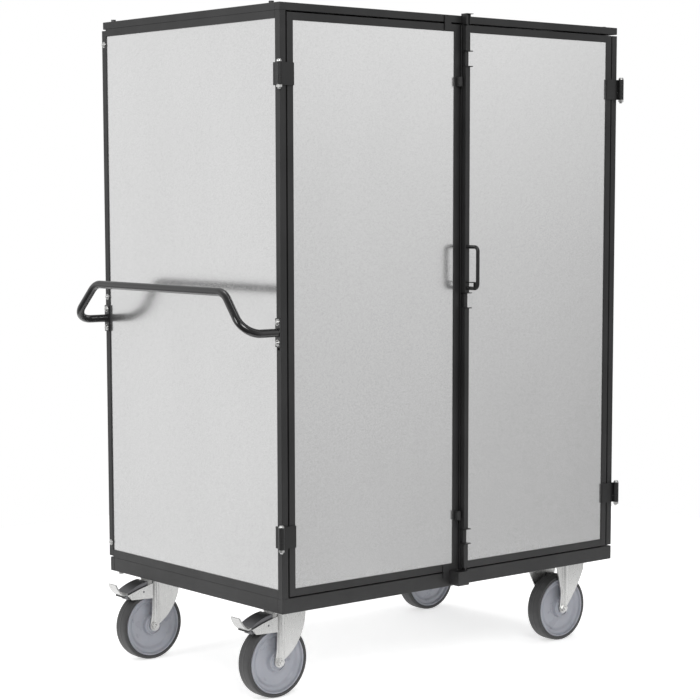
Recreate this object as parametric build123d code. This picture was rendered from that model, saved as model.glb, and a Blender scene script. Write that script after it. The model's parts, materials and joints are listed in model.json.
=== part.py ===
from build123d import *

import copy
import os

# Closed housekeeping cart: a tube-framed cabinet with galvanised panels, two doors, a turning latch bar,
# a bent push handle and four 200 mm casters, two of them swivelling with brakes.
#
# Everything is drawn in cabinet coordinates: x runs along the front from the left outer face, y runs into
# the depth from the front outer face, and z runs up from the underside of the base frame. write_nodes() moves
# every node into the object's own frame, whose origin is on the floor under the middle of its bounding box.

# ---- Cabinet ---------------------------------------------------------------------------------------
length = 1250.0
depth = 830.0
cabinet_height = 1580.0
base_height = 250.0
tube = 20.0
edge_round = 1.5
base_rail_height = 40.0
base_rail_width = 40.0
wall_foot_height = 22.0
rear_step = 6.0
panel_gap = 4.0
sheet = 1.5
sheet_recess = 3.0
floor_sheet = 2.0
roof_recess = 3.0
roof_flange = 14.0
fit_gap = 0.3

# ---- Shelves ---------------------------------------------------------------------------------------
shelf_heights = (540.0, 1020.0)
shelf_lip = 25.0
shelf_front_gap = 15.0
shelf_side_gap = 1.0
runner_size = 25.0
runner_sheet = 2.0
runner_front = 6.0

# ---- Bolts -----------------------------------------------------------------------------------------
bolt_d = 8.0
bolt_clearance = 0.1
bolt_end_gap = 1.0
dome_sink = 0.1
bolt_head_d = 13.0
bolt_head_height = 5.5
wall_bolt_inset = 46.5
spacer_d = 16.0
clip_sheet = 3.0
clip_height = 36.0
clip_reach = 20.0
clip_nut_d = 10.6
clip_margin = 1.0

# ---- Doors and hinges ------------------------------------------------------------------------------
hinge_height = 58.0
hinge_door_knuckle = 38.0
hinge_upper_z = 1371.0
hinge_lower_z = 174.0
hinge_out = 9.0
hinge_front = 9.0
hinge_barrel_d = 16.0
hinge_pin_d = 8.0
hinge_pin_clearance = 0.05
hinge_sheet = 3.0
hinge_side_leaf = 24.0
hinge_front_leaf = 44.0
pin_head_d = 15.0
pin_head_height = 7.0
pin_nut_d = 14.0
pin_nut_height = 6.0
pin_end_d = 9.0
pin_end_height = 5.0
tab_width = 23.0
tab_sheet = 3.0
tab_overlap = 17.5
tab_from_edge = 36.0
catch_width = 13.0
catch_depth = 12.0
catch_height = 25.0
catch_heights = (186.5, 1388.5)
catch_from_edge = 1.0
tab_seat_gap = 2.0

# ---- Latch -----------------------------------------------------------------------------------------
bar_side = 16.0
bar_axis_front = 12.0
bar_bottom = 50.0
bar_top = 1552.0
journal_d = 12.0
blade_thick = 5.0
blade_wide = 12.0
blade_end_gap = 2.0
guide_heights = (117.0, 779.5, 1441.5)
guide_from_edge = 1.0
guide_height = 44.0
guide_sheet = 2.5
guide_ear_wide = 22.0
guide_ear_deep = 23.0
keeper_wall = 1.5
keeper_outer = 17.0
keeper_slot = 8.0
keeper_below = 3.5
keeper_above = 4.0
pocket_wide = 40.0
pocket_deep = 38.0
pocket_wall = 3.0
pocket_round = 4.0
pocket_bottom = 4.0
pocket_side_gap = 1.0
pocket_end_gap = 0.01
grip_rod = 10.0
grip_reach = 50.0
grip_low = 836.0
grip_high = 950.0
grip_bend = 12.0
staple_sheet = 2.5
staple_wide = 10.0
staple_z = 851.0
staple_reach = 30.0

# ---- Push handle -----------------------------------------------------------------------------------
handle_tube = 22.0
handle_out = 112.0
handle_grip_out = 102.0
handle_low = 739.0
handle_rise = 104.0
handle_lean = 98.0
handle_low_bend = 50.0
handle_high_bend = 55.0
flange_sheet = 4.0
flange_height = 75.0
flange_bolt_offset = 26.5
spare_hole_height = 696.5

# ---- Casters ---------------------------------------------------------------------------------------
caster_inset_x = 114.0
caster_inset_y = 118.0
caster_trail = 58.0
wheel_d = 200.0
wheel_width = 47.0
tyre_thick = 11.0
tyre_shoulder = 4.0
rim_ring = 3.5
rim_recess = 8.0
web_width = 16.0
web_step = 14.0
hub_d = 54.0
hub_proud = 2.0
bearing_d = 28.0
axle_d = 12.0
axle_head_d = 19.0
axle_head = 8.0
axle_end = 1.3
running_gap = 0.05
fork_gap = 4.5
fork_sheet = 4.0
fork_rib_d = 22.0
fork_rib_out = 7.0
fork_rib_offset = 5.0
fork_front = 30.0
fork_bridge_back = 12.0
fork_toe = 15.0
fork_toe_rise = 4.0
plate_long = 140.0
plate_edge = 15.0
plate_sheet = 5.0
plate_bolt_long = 105.0
plate_bolt_gap = 8.0
race_d = 76.0
race_height = 7.0
crown_d = 84.0
crown_sheet = 6.0
kingpin_d = 14.0
kingpin_nut_d = 26.0
kingpin_nut = 7.0
brake_side_gap = 1.0
brake_sheet = 3.0
brake_ear = 8.0
brake_pin_d = 6.0
brake_pin_back = 37.0
brake_pin_z = -46.0
hood_inner_back = 20.0
hood_inner_z = -18.0
hood_outer_back = 90.0
hood_outer_z = -45.0
hood_bow = 5.0
hood_thick = 4.0
hood_skirt = 13.0
shoe_back = 66.0
shoe_long = 16.0
shoe_wide = 32.0
shoe_low = -66.0
pedal_flat = 9.0
pedal_drop = 3.5
pedal_curl = 22.0
pedal_rise = 31.0
pedal_bend_along = 0.56
pedal_bend_up = 0.40
pedal_bend_thin = 0.7
pedal_tip_wide = 38.0
pad_thick = 5.0
pad_margin = 0.5
pad_inset = 6.0
beam_width = 120.0

# ---- Worked out from the sizes above ---------------------------------------------------------------
roof_under = cabinet_height - tube
panel_low = base_rail_height + panel_gap
panel_high = roof_under - panel_gap
frame_depth = depth - rear_step
clip_offset = (panel_high - panel_low) / 2 - tube - clip_height / 2 - clip_margin
door_left = tube + panel_gap
door_width = (length - 2 * door_left - panel_gap) / 2
right_door_left = door_left + door_width + panel_gap
bar_x = right_door_left + bar_side / 2
bar_y = -bar_axis_front
middle = Plane(origin=(length / 2, 0, 0), z_dir=(1, 0, 0))
wheel_z = wheel_d / 2 - base_height
race_low = -plate_sheet - race_height
crown_top = race_low - fit_gap
crown_low = crown_top - crown_sheet
leg_inner = wheel_width / 2 + fork_gap
leg_outer = leg_inner + fork_sheet
plate_bolt_wide = 2 * (leg_outer + plate_bolt_gap)
plate_wide = plate_bolt_wide + 2 * plate_edge
brake_half = leg_inner - brake_side_gap
brake_pin_x = -caster_trail - brake_pin_back
hood_inner = -caster_trail - hood_inner_back
hood_outer = -caster_trail - hood_outer_back
shoe_inner = -caster_trail - shoe_back
nodes = {}


# ---- Shape helpers ---------------------------------------------------------------------------------
def block(x, y, z):
    """Rectangular block between the ends given for each direction."""
    size = Box(x[1] - x[0], y[1] - y[0], z[1] - z[0], align=(Align.MIN, Align.MIN, Align.MIN))
    return Pos(x[0], y[0], z[0]) * size


def upright(x, y, z, diameter):
    """Round bar along z."""
    bar = Cylinder(diameter / 2, z[1] - z[0], align=(Align.CENTER, Align.CENTER, Align.MIN))
    return Pos(x, y, z[0]) * bar


def along_x(x, y, z, diameter):
    """Round bar along x."""
    bar = Cylinder(diameter / 2, x[1] - x[0], align=(Align.CENTER, Align.CENTER, Align.MIN))
    return Pos(x[0], y, z) * Rot(0, 90, 0) * bar


def along_y(x, y, z, diameter):
    """Round bar along y."""
    bar = Cylinder(diameter / 2, y[1] - y[0], align=(Align.CENTER, Align.CENTER, Align.MIN))
    return Pos(x, y[0], z) * Rot(-90, 0, 0) * bar


def joined(shapes):
    """One welded piece out of several."""
    whole = shapes[0]
    for shape in shapes[1:]:
        whole = whole + shape
    return whole


def mirrored(shape, plane):
    return mirror(shape, about=plane)


def both_sides(shape, plane):
    """The shape and its mirror image, as separate pieces."""
    return [shape, mirrored(shape, plane)]


def plate(start, moves, y):
    """Flat plate across y. A move is an end point, or the middle and end points of an arc, in x and z."""
    edges = []
    here = Vector(start[0], y[0], start[1])
    for move in moves:
        points = [Vector(px, y[0], pz) for px, pz in move]
        if len(points) == 1:
            edges.append(Edge.make_line(here, points[0]))
        else:
            edges.append(Edge.make_three_point_arc(here, points[0], points[1]))
        here = points[-1]
    face = Face(Wire(edges))
    return extrude(face, amount=y[1] - y[0], dir=(0, 1, 0))


def hexagon(x, y, z, across):
    """Hexagonal bolt head or nut along z, as wide across its flats as stated."""
    sketch = RegularPolygon(radius=across / 2, side_count=6, major_radius=False)
    return Pos(x, y, z[0]) * extrude(sketch, amount=z[1] - z[0])


def dome_x(x, y, z, diameter, height):
    """Domed bolt head whose flat side is at x and whose crown points to the left."""
    head = Cylinder(diameter / 2, height, align=(Align.CENTER, Align.CENTER, Align.MIN))
    head = fillet(head.edges().filter_by(GeomType.CIRCLE).sort_by(Axis.Z)[-1:], height * 0.8)
    return Pos(x, y, z) * Rot(0, -90, 0) * head


def rounded_bar(x, y, z):
    """Length of rectangular tube with all its edges rounded."""
    bar = block(x, y, z)
    return fillet(bar.edges(), edge_round)


def bars_across_y(x, y, z):
    """Tube frame standing across y, with its long edges rounded, as two uprights and two rails."""
    opening = block((x[0] + tube, x[1] - tube), y, (z[0] + tube, z[1] - tube))
    ring = block(x, y, z) - opening
    ring = fillet(ring.faces().filter_by(Axis.Y).edges(), edge_round)
    between = (x[0] + tube, x[1] - tube)
    cuts = (
        block((x[0], between[0]), y, z),
        block((between[1], x[1]), y, z),
        block(between, y, (z[0], z[0] + tube)),
        block(between, y, (z[1] - tube, z[1])),
    )
    return [ring & cut for cut in cuts]


def bars_across_x(x, y, z):
    """Tube frame standing across x, with its long edges rounded, as two uprights and two rails."""
    opening = block(x, (y[0] + tube, y[1] - tube), (z[0] + tube, z[1] - tube))
    ring = block(x, y, z) - opening
    ring = fillet(ring.faces().filter_by(Axis.X).edges(), edge_round)
    between = (y[0] + tube, y[1] - tube)
    cuts = (
        block(x, (y[0], between[0]), z),
        block(x, (between[1], y[1]), z),
        block(x, between, (z[0], z[0] + tube)),
        block(x, between, (z[1] - tube, z[1])),
    )
    return [ring & cut for cut in cuts]


def drilled(bars, holes):
    """The bars with every hole that meets one of them cut through it."""
    out = []
    for bar in bars:
        box = bar.bounding_box()
        for hole in holes:
            reach = hole.bounding_box()
            apart = (
                reach.max.X < box.min.X or reach.min.X > box.max.X
                or reach.max.Y < box.min.Y or reach.min.Y > box.max.Y
                or reach.max.Z < box.min.Z or reach.min.Z > box.max.Z
            )
            if not apart:
                bar = bar - hole
        out.append(bar)
    return out


def add_node(name, shape):
    """Keeps a node under its name, as one solid or as a group of separate ones."""
    pieces = shape if isinstance(shape, list) else [shape]
    solids = []
    for piece in pieces:
        solids.extend(piece.solids())
    nodes[name] = solids


def write_nodes():
    """Moves the nodes into the object's frame and writes each to its STEP file."""
    bounds = Compound(children=[copy.copy(solid) for solids in nodes.values() for solid in solids])
    box = bounds.bounding_box()
    shift = Pos(-(box.min.X + box.max.X) / 2, -(box.min.Y + box.max.Y) / 2, base_height)
    for name, solids in nodes.items():
        moved = [shift * solid for solid in solids]
        node = moved[0] if len(moved) == 1 else Compound(children=moved)
        node.label = name
        export_step(node, f"parts/{name}.step")


# ---- Bolts -----------------------------------------------------------------------------------------
def wall_bolt_places():
    """Upright bolts near the ends of both side walls, as x and y."""
    return [
        (x, y)
        for x in (tube / 2, length - tube / 2)
        for y in (wall_bolt_inset, depth - wall_bolt_inset)
    ]


def bolt_holes(z):
    """Cutting bars for the upright wall bolts over a stretch of height."""
    return [upright(x, y, z, bolt_d + 2 * bolt_clearance) for x, y in wall_bolt_places()]


def roof_bolts():
    shank_end = roof_under - panel_gap - tube / 2
    bolts = []
    for x, y in wall_bolt_places():
        shank = upright(x, y, (shank_end, cabinet_height), bolt_d)
        head = hexagon(x, y, (cabinet_height, cabinet_height + bolt_head_height), bolt_head_d)
        bolts.append(shank + head)
    return bolts


def base_bolts():
    shank_end = base_rail_height + wall_foot_height - tube / 4
    bolts = []
    for x, y in wall_bolt_places():
        head = hexagon(x, y, (-bolt_head_height, 0), bolt_head_d)
        shank = upright(x, y, (0, shank_end), bolt_d)
        bolts.append(shank + head)
    return bolts


def wall_spacers():
    """Washers that hold the right wall clear of the base and the roof."""
    washers = []
    for x, y in wall_bolt_places():
        if x > length / 2:
            for z in ((base_rail_height, panel_low), (panel_high, roof_under)):
                disc = upright(x, y, z, spacer_d)
                washers.append(disc - upright(x, y, z, bolt_d + 2 * bolt_clearance))
    return washers


# ---- Base and roof ---------------------------------------------------------------------------------
def base_frame():
    """Front and rear rails over the full length, with side rails and caster beams between them."""
    z = (0, base_rail_height)
    between = (tube, frame_depth - tube)
    bars = [
        rounded_bar((0, length), (0, tube), z),
        rounded_bar((0, length), (frame_depth - tube, frame_depth), z),
        rounded_bar((0, base_rail_width), between, z),
        rounded_bar((length - base_rail_width, length), between, z),
    ]
    for centre in (caster_inset_x, length / 2, length - caster_inset_x):
        wide = base_rail_width if centre == length / 2 else beam_width
        bars.append(rounded_bar((centre - wide / 2, centre + wide / 2), between, z))
    return drilled(bars, bolt_holes(z) + caster_bolt_shanks(2 * bolt_clearance))


def floor_panel():
    x = (tube, length - tube)
    y = (tube, depth - tube)
    return block(x, y, (base_rail_height, base_rail_height + floor_sheet))


def roof_frame():
    z = (roof_under, cabinet_height)
    between = (tube, frame_depth - tube)
    bars = [
        rounded_bar((0, length), (0, tube), z),
        rounded_bar((0, length), (frame_depth - tube, frame_depth), z),
        rounded_bar((0, tube), between, z),
        rounded_bar((length - tube, length), between, z),
    ]
    return drilled(bars, bolt_holes(z))


def roof_panel():
    """Shallow tray with turned-down sides, let into the roof frame."""
    top = cabinet_height - roof_recess
    x = (tube, length - tube)
    y = (tube, frame_depth - tube)
    tray = block(x, y, (top - roof_flange, top))
    inside_x = (x[0] + sheet, x[1] - sheet)
    inside_y = (y[0] + sheet, y[1] - sheet)
    return tray - block(inside_x, inside_y, (top - roof_flange, top - sheet))


# ---- Walls -----------------------------------------------------------------------------------------
def left_wall_frame():
    rear = depth - tube
    post = block((0, tube), (0, tube), (base_rail_height, roof_under))
    post = fillet(post.edges().filter_by(Axis.Z), edge_round)
    foot_top = base_rail_height + wall_foot_height
    foot = block((0, tube), (tube, rear), (base_rail_height, foot_top))
    head = block((0, tube), (tube, rear), (roof_under - tube, roof_under))
    back_post = block((sheet_recess + sheet, tube), (rear - tube, rear), (foot_top, roof_under - tube))
    holes = bolt_holes((base_rail_height, roof_under))
    for z in handle_bolt_heights() + [spare_hole_height]:
        holes.append(along_x((0, tube - edge_round), tube / 2, z, bolt_d + 2 * bolt_clearance))
    return drilled([post, foot, head, back_post], holes)


def left_wall_sheet():
    z = (base_rail_height + wall_foot_height, roof_under - tube)
    return block((sheet_recess, sheet_recess + sheet), (tube, depth - tube), z)


def right_wall_frame():
    x = (length - tube, length)
    y = (0, depth - tube)
    return drilled(bars_across_x(x, y, (panel_low, panel_high)), bolt_holes((panel_low, panel_high)))


def right_wall_sheet():
    outer = length - sheet_recess
    z = (panel_low + tube, panel_high - tube)
    return block((outer - sheet, outer), (tube, depth - 2 * tube), z)


def rear_wall_frame():
    y = (depth - tube, depth)
    hole = bolt_d + 2 * bolt_clearance
    holes = [along_x(x, depth - tube / 2, z, hole) for x, z in clip_places()]
    for z in handle_bolt_heights():
        holes.append(along_x((0, tube - edge_round), depth - tube / 2, z, hole))
    return drilled(bars_across_y((0, length), y, (panel_low, panel_high)), holes)


def rear_wall_sheet():
    outer = depth - sheet_recess
    z = (panel_low + tube, panel_high - tube)
    return block((tube, length - tube), (outer - sheet, outer), z)


def clip_places():
    """Rear wall clips: the stretch of x through the side tube, and the height."""
    centre = (panel_low + panel_high) / 2
    heights = [centre - clip_offset, centre, centre + clip_offset]
    return [(x, z) for x in ((0, tube), (length - tube, length)) for z in heights]


def rear_clips():
    """Flat plates inside the rear corners that tie the rear wall to the side walls."""
    plates = []
    for x, z in clip_places():
        start = tube if x[0] < length / 2 else length - tube - clip_sheet
        inner = (start, start + clip_sheet)
        span = (depth - tube - clip_reach, depth - sheet_recess - sheet)
        strip = block(inner, span, (z - clip_height / 2, z + clip_height / 2))
        plates.append(strip - along_x(inner, depth - tube / 2, z, bolt_d + 2 * bolt_clearance))
    return plates


def rear_clip_bolts():
    bolts = []
    centre = (panel_low + panel_high) / 2
    for offset in (-clip_offset, 0, clip_offset):
        z = centre + offset
        shank = along_x((-dome_sink, tube + clip_sheet + bolt_head_height), depth - tube / 2, z, bolt_d)
        head = dome_x(0, depth - tube / 2, z, bolt_head_d, bolt_head_height)
        nut_x = (tube + clip_sheet, tube + clip_sheet + bolt_head_height)
        nut = along_x(nut_x, depth - tube / 2, z, clip_nut_d)
        bolts.extend(both_sides(joined([shank, head, nut]), middle))
    return bolts


# ---- Shelves ---------------------------------------------------------------------------------------
def shelves():
    """Sheet trays with turned-down front and rear lips, resting on the runners."""
    trays = []
    side = tube + runner_sheet + shelf_side_gap
    x = (side, length - side)
    y = (tube + shelf_front_gap, depth - 2 * tube)
    for z in shelf_heights:
        top = block(x, y, (z, z + sheet))
        inner = (tube + runner_sheet + runner_size, length - tube - runner_sheet - runner_size)
        front = block(inner, (y[0], y[0] + sheet), (z - shelf_lip, z))
        rear = block(inner, (y[1] - sheet, y[1]), (z - shelf_lip, z))
        trays.append(joined([top, front, rear]))
    return trays


def shelf_runners():
    """Angles on both side walls, from post to post."""
    angles = []
    y = (runner_front, depth - tube)
    for z in shelf_heights:
        upper = block((tube, tube + runner_sheet), y, (z - runner_size, z))
        ledge_y = (tube + shelf_front_gap, depth - 2 * tube)
        ledge = block((tube, tube + runner_size), ledge_y, (z - runner_sheet, z))
        angles.extend(both_sides(upper + ledge, middle))
    return angles


# ---- Push handle -----------------------------------------------------------------------------------
def handle_bolt_heights():
    return [handle_low - flange_bolt_offset, handle_low + flange_bolt_offset]


def push_handle():
    """One tube, bent out from the front post, up and in to the grip, and back to the rear post."""
    near = tube / 2
    far = depth - tube / 2
    high = handle_low + handle_rise
    corners = [
        (-flange_sheet, near, handle_low),
        (-handle_out, near, handle_low),
        (-handle_grip_out, near + handle_lean, high),
        (-handle_grip_out, far - handle_lean, high),
        (-handle_out, far, handle_low),
        (-flange_sheet, far, handle_low),
    ]
    bends = [handle_low_bend, handle_high_bend, handle_high_bend, handle_low_bend]
    path = FilletPolyline(*corners, radius=bends)
    start = Plane(origin=corners[0], z_dir=(-1, 0, 0))
    bar = sweep(start * Circle(handle_tube / 2), path=path)
    pieces = [bar]
    for y in (near, far):
        z = (handle_low - flange_height / 2, handle_low + flange_height / 2)
        flange = block((-flange_sheet, 0), (y - tube / 2, y + tube / 2), z)
        flange = fillet(flange.edges().filter_by(Axis.X), edge_round * 2)
        for height in handle_bolt_heights():
            flange = flange - along_x((-flange_sheet, 0), y, height, bolt_d + 2 * bolt_clearance)
        pieces.append(flange)
    return joined(pieces)


def push_handle_bolts():
    bolts = []
    for y in (tube / 2, depth - tube / 2):
        for z in handle_bolt_heights():
            shank = along_x((-flange_sheet - dome_sink, tube - 2 * edge_round), y, z, bolt_d)
            head = dome_x(-flange_sheet, y, z, bolt_head_d, bolt_head_height)
            bolts.append(shank + head)
    return bolts


# ---- Hinges ----------------------------------------------------------------------------------------
def hinge_spans():
    """Lower ends of the four hinges' two heights."""
    return (hinge_lower_z, hinge_upper_z)


def knuckle_spans(low):
    """Heights of the frame's knuckle and of the door's knuckle above it."""
    split = low + hinge_height - hinge_door_knuckle
    return (low, split - fit_gap), (split, low + hinge_height)


def frame_hinge_leaf(low):
    knuckle, _ = knuckle_spans(low)
    leaf = block((-hinge_sheet, 0), (0, hinge_side_leaf), (low, low + hinge_height))
    neck = block((-hinge_sheet, 0), (-hinge_front, edge_round), knuckle)
    barrel = upright(-hinge_out, -hinge_front, knuckle, hinge_barrel_d)
    bore = upright(-hinge_out, -hinge_front, knuckle, hinge_pin_d + 2 * hinge_pin_clearance)
    return joined([leaf, neck, barrel]) - bore


def door_hinge_leaf(low):
    _, knuckle = knuckle_spans(low)
    z = (low, low + hinge_height)
    flat = (-hinge_sheet - fit_gap, -fit_gap)
    leaf = block((2 * fit_gap, hinge_front_leaf), flat, z)
    pad = block((door_left, hinge_front_leaf), (-fit_gap, 0), z)
    neck = block((-hinge_out, 2 * fit_gap), flat, knuckle)
    barrel = upright(-hinge_out, -hinge_front, knuckle, hinge_barrel_d)
    bore = upright(-hinge_out, -hinge_front, knuckle, hinge_pin_d + 2 * hinge_pin_clearance)
    return joined([leaf, pad, neck, barrel]) - bore


def hinge_pin(low):
    """Pin with a domed head above the barrel, and a nut and a rounded end below it."""
    top = low + hinge_height + fit_gap
    shank = upright(-hinge_out, -hinge_front, (low, top), hinge_pin_d)
    head = upright(-hinge_out, -hinge_front, (top, top + pin_head_height), pin_head_d)
    head = fillet(head.edges().filter_by(GeomType.CIRCLE).sort_by(Axis.Z)[-1:], pin_head_height * 0.8)
    nut = hexagon(-hinge_out, -hinge_front, (low - pin_nut_height, low), pin_nut_d)
    end_low = low - pin_nut_height - pin_end_height
    end = upright(-hinge_out, -hinge_front, (end_low, low), pin_end_d)
    end = fillet(end.edges().filter_by(GeomType.CIRCLE).sort_by(Axis.Z)[:1], pin_end_d * 0.4)
    return joined([shank, head, nut, end])


# ---- Doors -----------------------------------------------------------------------------------------
def door_frame(x):
    return bars_across_y(x, (0, tube), (panel_low, panel_high))


def door_sheet(x):
    z = (panel_low + tube, panel_high - tube)
    return block((x[0] + tube, x[1] - tube), (sheet_recess, sheet_recess + sheet), z)


def left_door_stops():
    """Tabs that bear on the rails above and below the door, and catch blocks beside the latch bar."""
    edge = door_left + door_width
    x = (edge - tab_from_edge - tab_width, edge - tab_from_edge)
    flat = (-tab_sheet - fit_gap, -fit_gap)
    pieces = []
    upper_seat = panel_high - tube + tab_seat_gap
    lower_seat = panel_low + tube - tab_seat_gap
    spans = (
        ((upper_seat, panel_high), (upper_seat, panel_high + tab_overlap + panel_gap)),
        ((panel_low, lower_seat), (panel_low - tab_overlap, lower_seat)),
    )
    for seat, whole in spans:
        pieces.append(block(x, (-fit_gap, 0), seat) + block(x, flat, whole))
    for z in catch_heights:
        lug_end = edge - catch_from_edge
        lug = block((lug_end - catch_width, lug_end), (-catch_depth, 0), (z, z + catch_height))
        pieces.append(fillet(lug.edges().filter_by(Axis.Z), edge_round))
    return pieces


# ---- Latch -----------------------------------------------------------------------------------------
def latch_guides():
    """Brackets on the right door whose two ears carry the latch bar's journals."""
    guides = []
    start = right_door_left + guide_from_edge
    x = (start, start + guide_ear_wide)
    for low in guide_heights:
        z = (low, low + guide_height)
        pieces = [block(x, (-guide_sheet, 0), z)]
        for ear in ((z[0], z[0] + guide_sheet), (z[1] - guide_sheet, z[1])):
            pieces.append(block(x, (-guide_ear_deep, 0), ear))
        guide = joined(pieces) - upright(bar_x, bar_y, z, journal_d + 2 * running_gap)
        guides.append(guide)
    return guides


def latch_bar():
    """Square bar with round journals in the guides and a flat blade at each end."""
    z = (bar_bottom, bar_top)
    half = bar_side / 2
    bar = block((bar_x - half, bar_x + half), (bar_y - half, bar_y + half), z)
    bar = fillet(bar.edges().filter_by(Axis.Z), edge_round)
    for low in guide_heights:
        span = (low - fit_gap, low + guide_height + fit_gap)
        reach = (bar_x - bar_side, bar_x + bar_side)
        waist = block(reach, (bar_y - bar_side, bar_y + bar_side), span)
        bar = bar - (waist - upright(bar_x, bar_y, span, journal_d))
    x = (bar_x - blade_thick / 2, bar_x + blade_thick / 2)
    y = (bar_y - blade_wide / 2, bar_y + blade_wide / 2)
    lower = block(x, y, (pocket_bottom + pocket_wall + blade_end_gap, bar_bottom))
    upper = block(x, y, (bar_top, cabinet_height + keeper_above - blade_end_gap))
    return joined([bar, lower, upper])


def latch_handle():
    """D-shaped rod grip on the front of the bar, with the padlock staple inside its lower corner."""
    back = bar_y - bar_side / 2
    out = bar_y - grip_reach
    corners = [
        (bar_x, back, grip_low),
        (bar_x, out, grip_low),
        (bar_x, out, grip_high),
        (bar_x, back, grip_high),
    ]
    path = FilletPolyline(*corners, radius=grip_bend)
    start = Plane(origin=corners[0], z_dir=(0, -1, 0))
    rod = sweep(start * Circle(grip_rod / 2), path=path)
    x = (bar_x - staple_wide / 2, bar_x + staple_wide / 2)
    end = back - staple_reach
    strap = block(x, (end - staple_sheet, back), (staple_z, staple_z + staple_sheet))
    drop = block(x, (end - staple_sheet, end), (grip_low, staple_z + staple_sheet))
    return joined([rod, strap, drop])


def keeper_channel(z):
    """Upright channel with a front slot that the blade passes only when the grip stands straight out."""
    half = keeper_outer / 2
    front = bar_y - half
    shell = block((bar_x - half, bar_x + half), (front, 0), z)
    inner = half - keeper_wall
    room = block((bar_x - inner, bar_x + inner), (front + keeper_wall, -keeper_wall), z)
    slot = block((bar_x - keeper_slot / 2, bar_x + keeper_slot / 2), (front, front + keeper_wall), z)
    return shell - room - slot


def top_keeper():
    z = (panel_high + fit_gap, cabinet_height + keeper_above)
    channel = keeper_channel(z)
    half = keeper_outer / 2
    cap_x = (bar_x - half, bar_x + half + 2 * keeper_below)
    cap = block(cap_x, (bar_y - half - keeper_below, 0), (z[1], z[1] + keeper_wall))
    return channel + cap


def bottom_keeper():
    """Blade channel on a base plate, with an open pocket beside it."""
    top = base_rail_height + keeper_above
    z = (pocket_bottom, top)
    channel = keeper_channel(z)
    half = keeper_outer / 2
    foot = block((bar_x - half, bar_x + half), (bar_y - half, 0), (z[0], z[0] + pocket_wall))
    right = bar_x - keeper_slot / 2 - pocket_side_gap
    left = right - pocket_wide
    shell = block((left, right), (-pocket_deep, 0), z)
    under = shell.faces().sort_by(Axis.Z)[0]
    front_edge = under.edges().filter_by(Axis.X).sort_by(Axis.Y)[:1]
    left_edge = under.edges().filter_by(Axis.Y).sort_by(Axis.X)[:1]
    shell = fillet(front_edge + left_edge, pocket_round)
    room_x = (left + pocket_wall, bar_x - half - pocket_end_gap)
    room = block(room_x, (-pocket_deep + pocket_wall, -pocket_wall), (z[0] + pocket_wall, top))
    inner = half - keeper_wall
    blade_room = block((bar_x - inner, right), (bar_y - inner, -keeper_wall), (z[0] + pocket_wall, top))
    return joined([channel, foot, shell - room - blade_room])


# ---- Casters ---------------------------------------------------------------------------------------
def caster_centres():
    """Plate centres of the four casters, the two swivelling ones first."""
    return [
        (x, y)
        for x in (caster_inset_x, length - caster_inset_x)
        for y in (caster_inset_y, depth - caster_inset_y)
    ]


def plate_bolt_places():
    offsets = [
        (dx, dy)
        for dx in (-plate_bolt_long / 2, plate_bolt_long / 2)
        for dy in (-plate_bolt_wide / 2, plate_bolt_wide / 2)
    ]
    return [(x + dx, y + dy) for x, y in caster_centres() for dx, dy in offsets]


def caster_bolt_shanks(extra):
    return [upright(x, y, (-plate_sheet, base_rail_height), bolt_d + extra) for x, y in plate_bolt_places()]


def caster_plates():
    plates = []
    for x, y in caster_centres():
        span_x = (x - plate_long / 2, x + plate_long / 2)
        span_y = (y - plate_wide / 2, y + plate_wide / 2)
        top = block(span_x, span_y, (-plate_sheet, 0))
        top = fillet(top.edges().filter_by(Axis.Z), 4 * edge_round)
        plates.append(top)
    for hole in caster_bolt_shanks(2 * bolt_clearance):
        plates = [plate_piece - hole for plate_piece in plates]
    return plates


def caster_plate_bolts():
    bolts = []
    for x, y in plate_bolt_places():
        shank = upright(x, y, (-plate_sheet, base_rail_height - bolt_end_gap), bolt_d)
        head = hexagon(x, y, (-plate_sheet - bolt_head_height, -plate_sheet), bolt_head_d)
        bolts.append(shank + head)
    return bolts


def kingpins():
    """Upper bearing races with the kingpins that carry the swivel forks."""
    pins = []
    for x, y in caster_centres()[:2]:
        race = upright(x, y, (race_low, -plate_sheet), race_d)
        race = fillet(race.edges().filter_by(GeomType.CIRCLE).sort_by(Axis.Z)[:1], 2 * edge_round)
        shank = upright(x, y, (crown_low - kingpin_nut, race_low), kingpin_d)
        nut_z = (crown_low - fit_gap - kingpin_nut, crown_low - fit_gap)
        pins.append(joined([race, shank, hexagon(x, y, nut_z, kingpin_nut_d)]))
    return pins


def swivel_leg(y):
    """Fork cheek about the swivel axis: web towards the front, wing over the tyre behind."""
    axle_x = -caster_trail
    toe_z = wheel_z + fork_toe_rise
    top = crown_low + crown_sheet / 2
    start = (fork_front, top)
    moves = (
        ((14, -86), (axle_x + fork_toe, toe_z)),
        ((axle_x, wheel_z - fork_toe), (axle_x - fork_toe, toe_z)),
        ((axle_x - 9, -112),),
        ((axle_x - 7, -68),),
        ((axle_x - 78, -65),),
        ((axle_x - 91, -50),),
        ((axle_x - 54, -37.5),),
        ((axle_x - 4, -24),),
        ((axle_x + 18, top),),
        (start,),
    )
    return plate(start, moves, y)


def fixed_leg(y, way):
    """Fork cheek about a fixed caster's axle, leaning out on one side."""
    top = -plate_sheet
    toe = way * fork_toe
    toe_z = wheel_z + fork_toe_rise
    start = (way * 88, top)
    moves = (
        ((way * 84, -40),),
        ((way * 62, -82), (toe, toe_z)),
        ((0, wheel_z - fork_toe), (-toe, toe_z)),
        ((-way * 10, -100),),
        ((-way * 28, -24),),
        ((-way * fork_front, top),),
        (start,),
    )
    return plate(start, moves, y)


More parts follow.
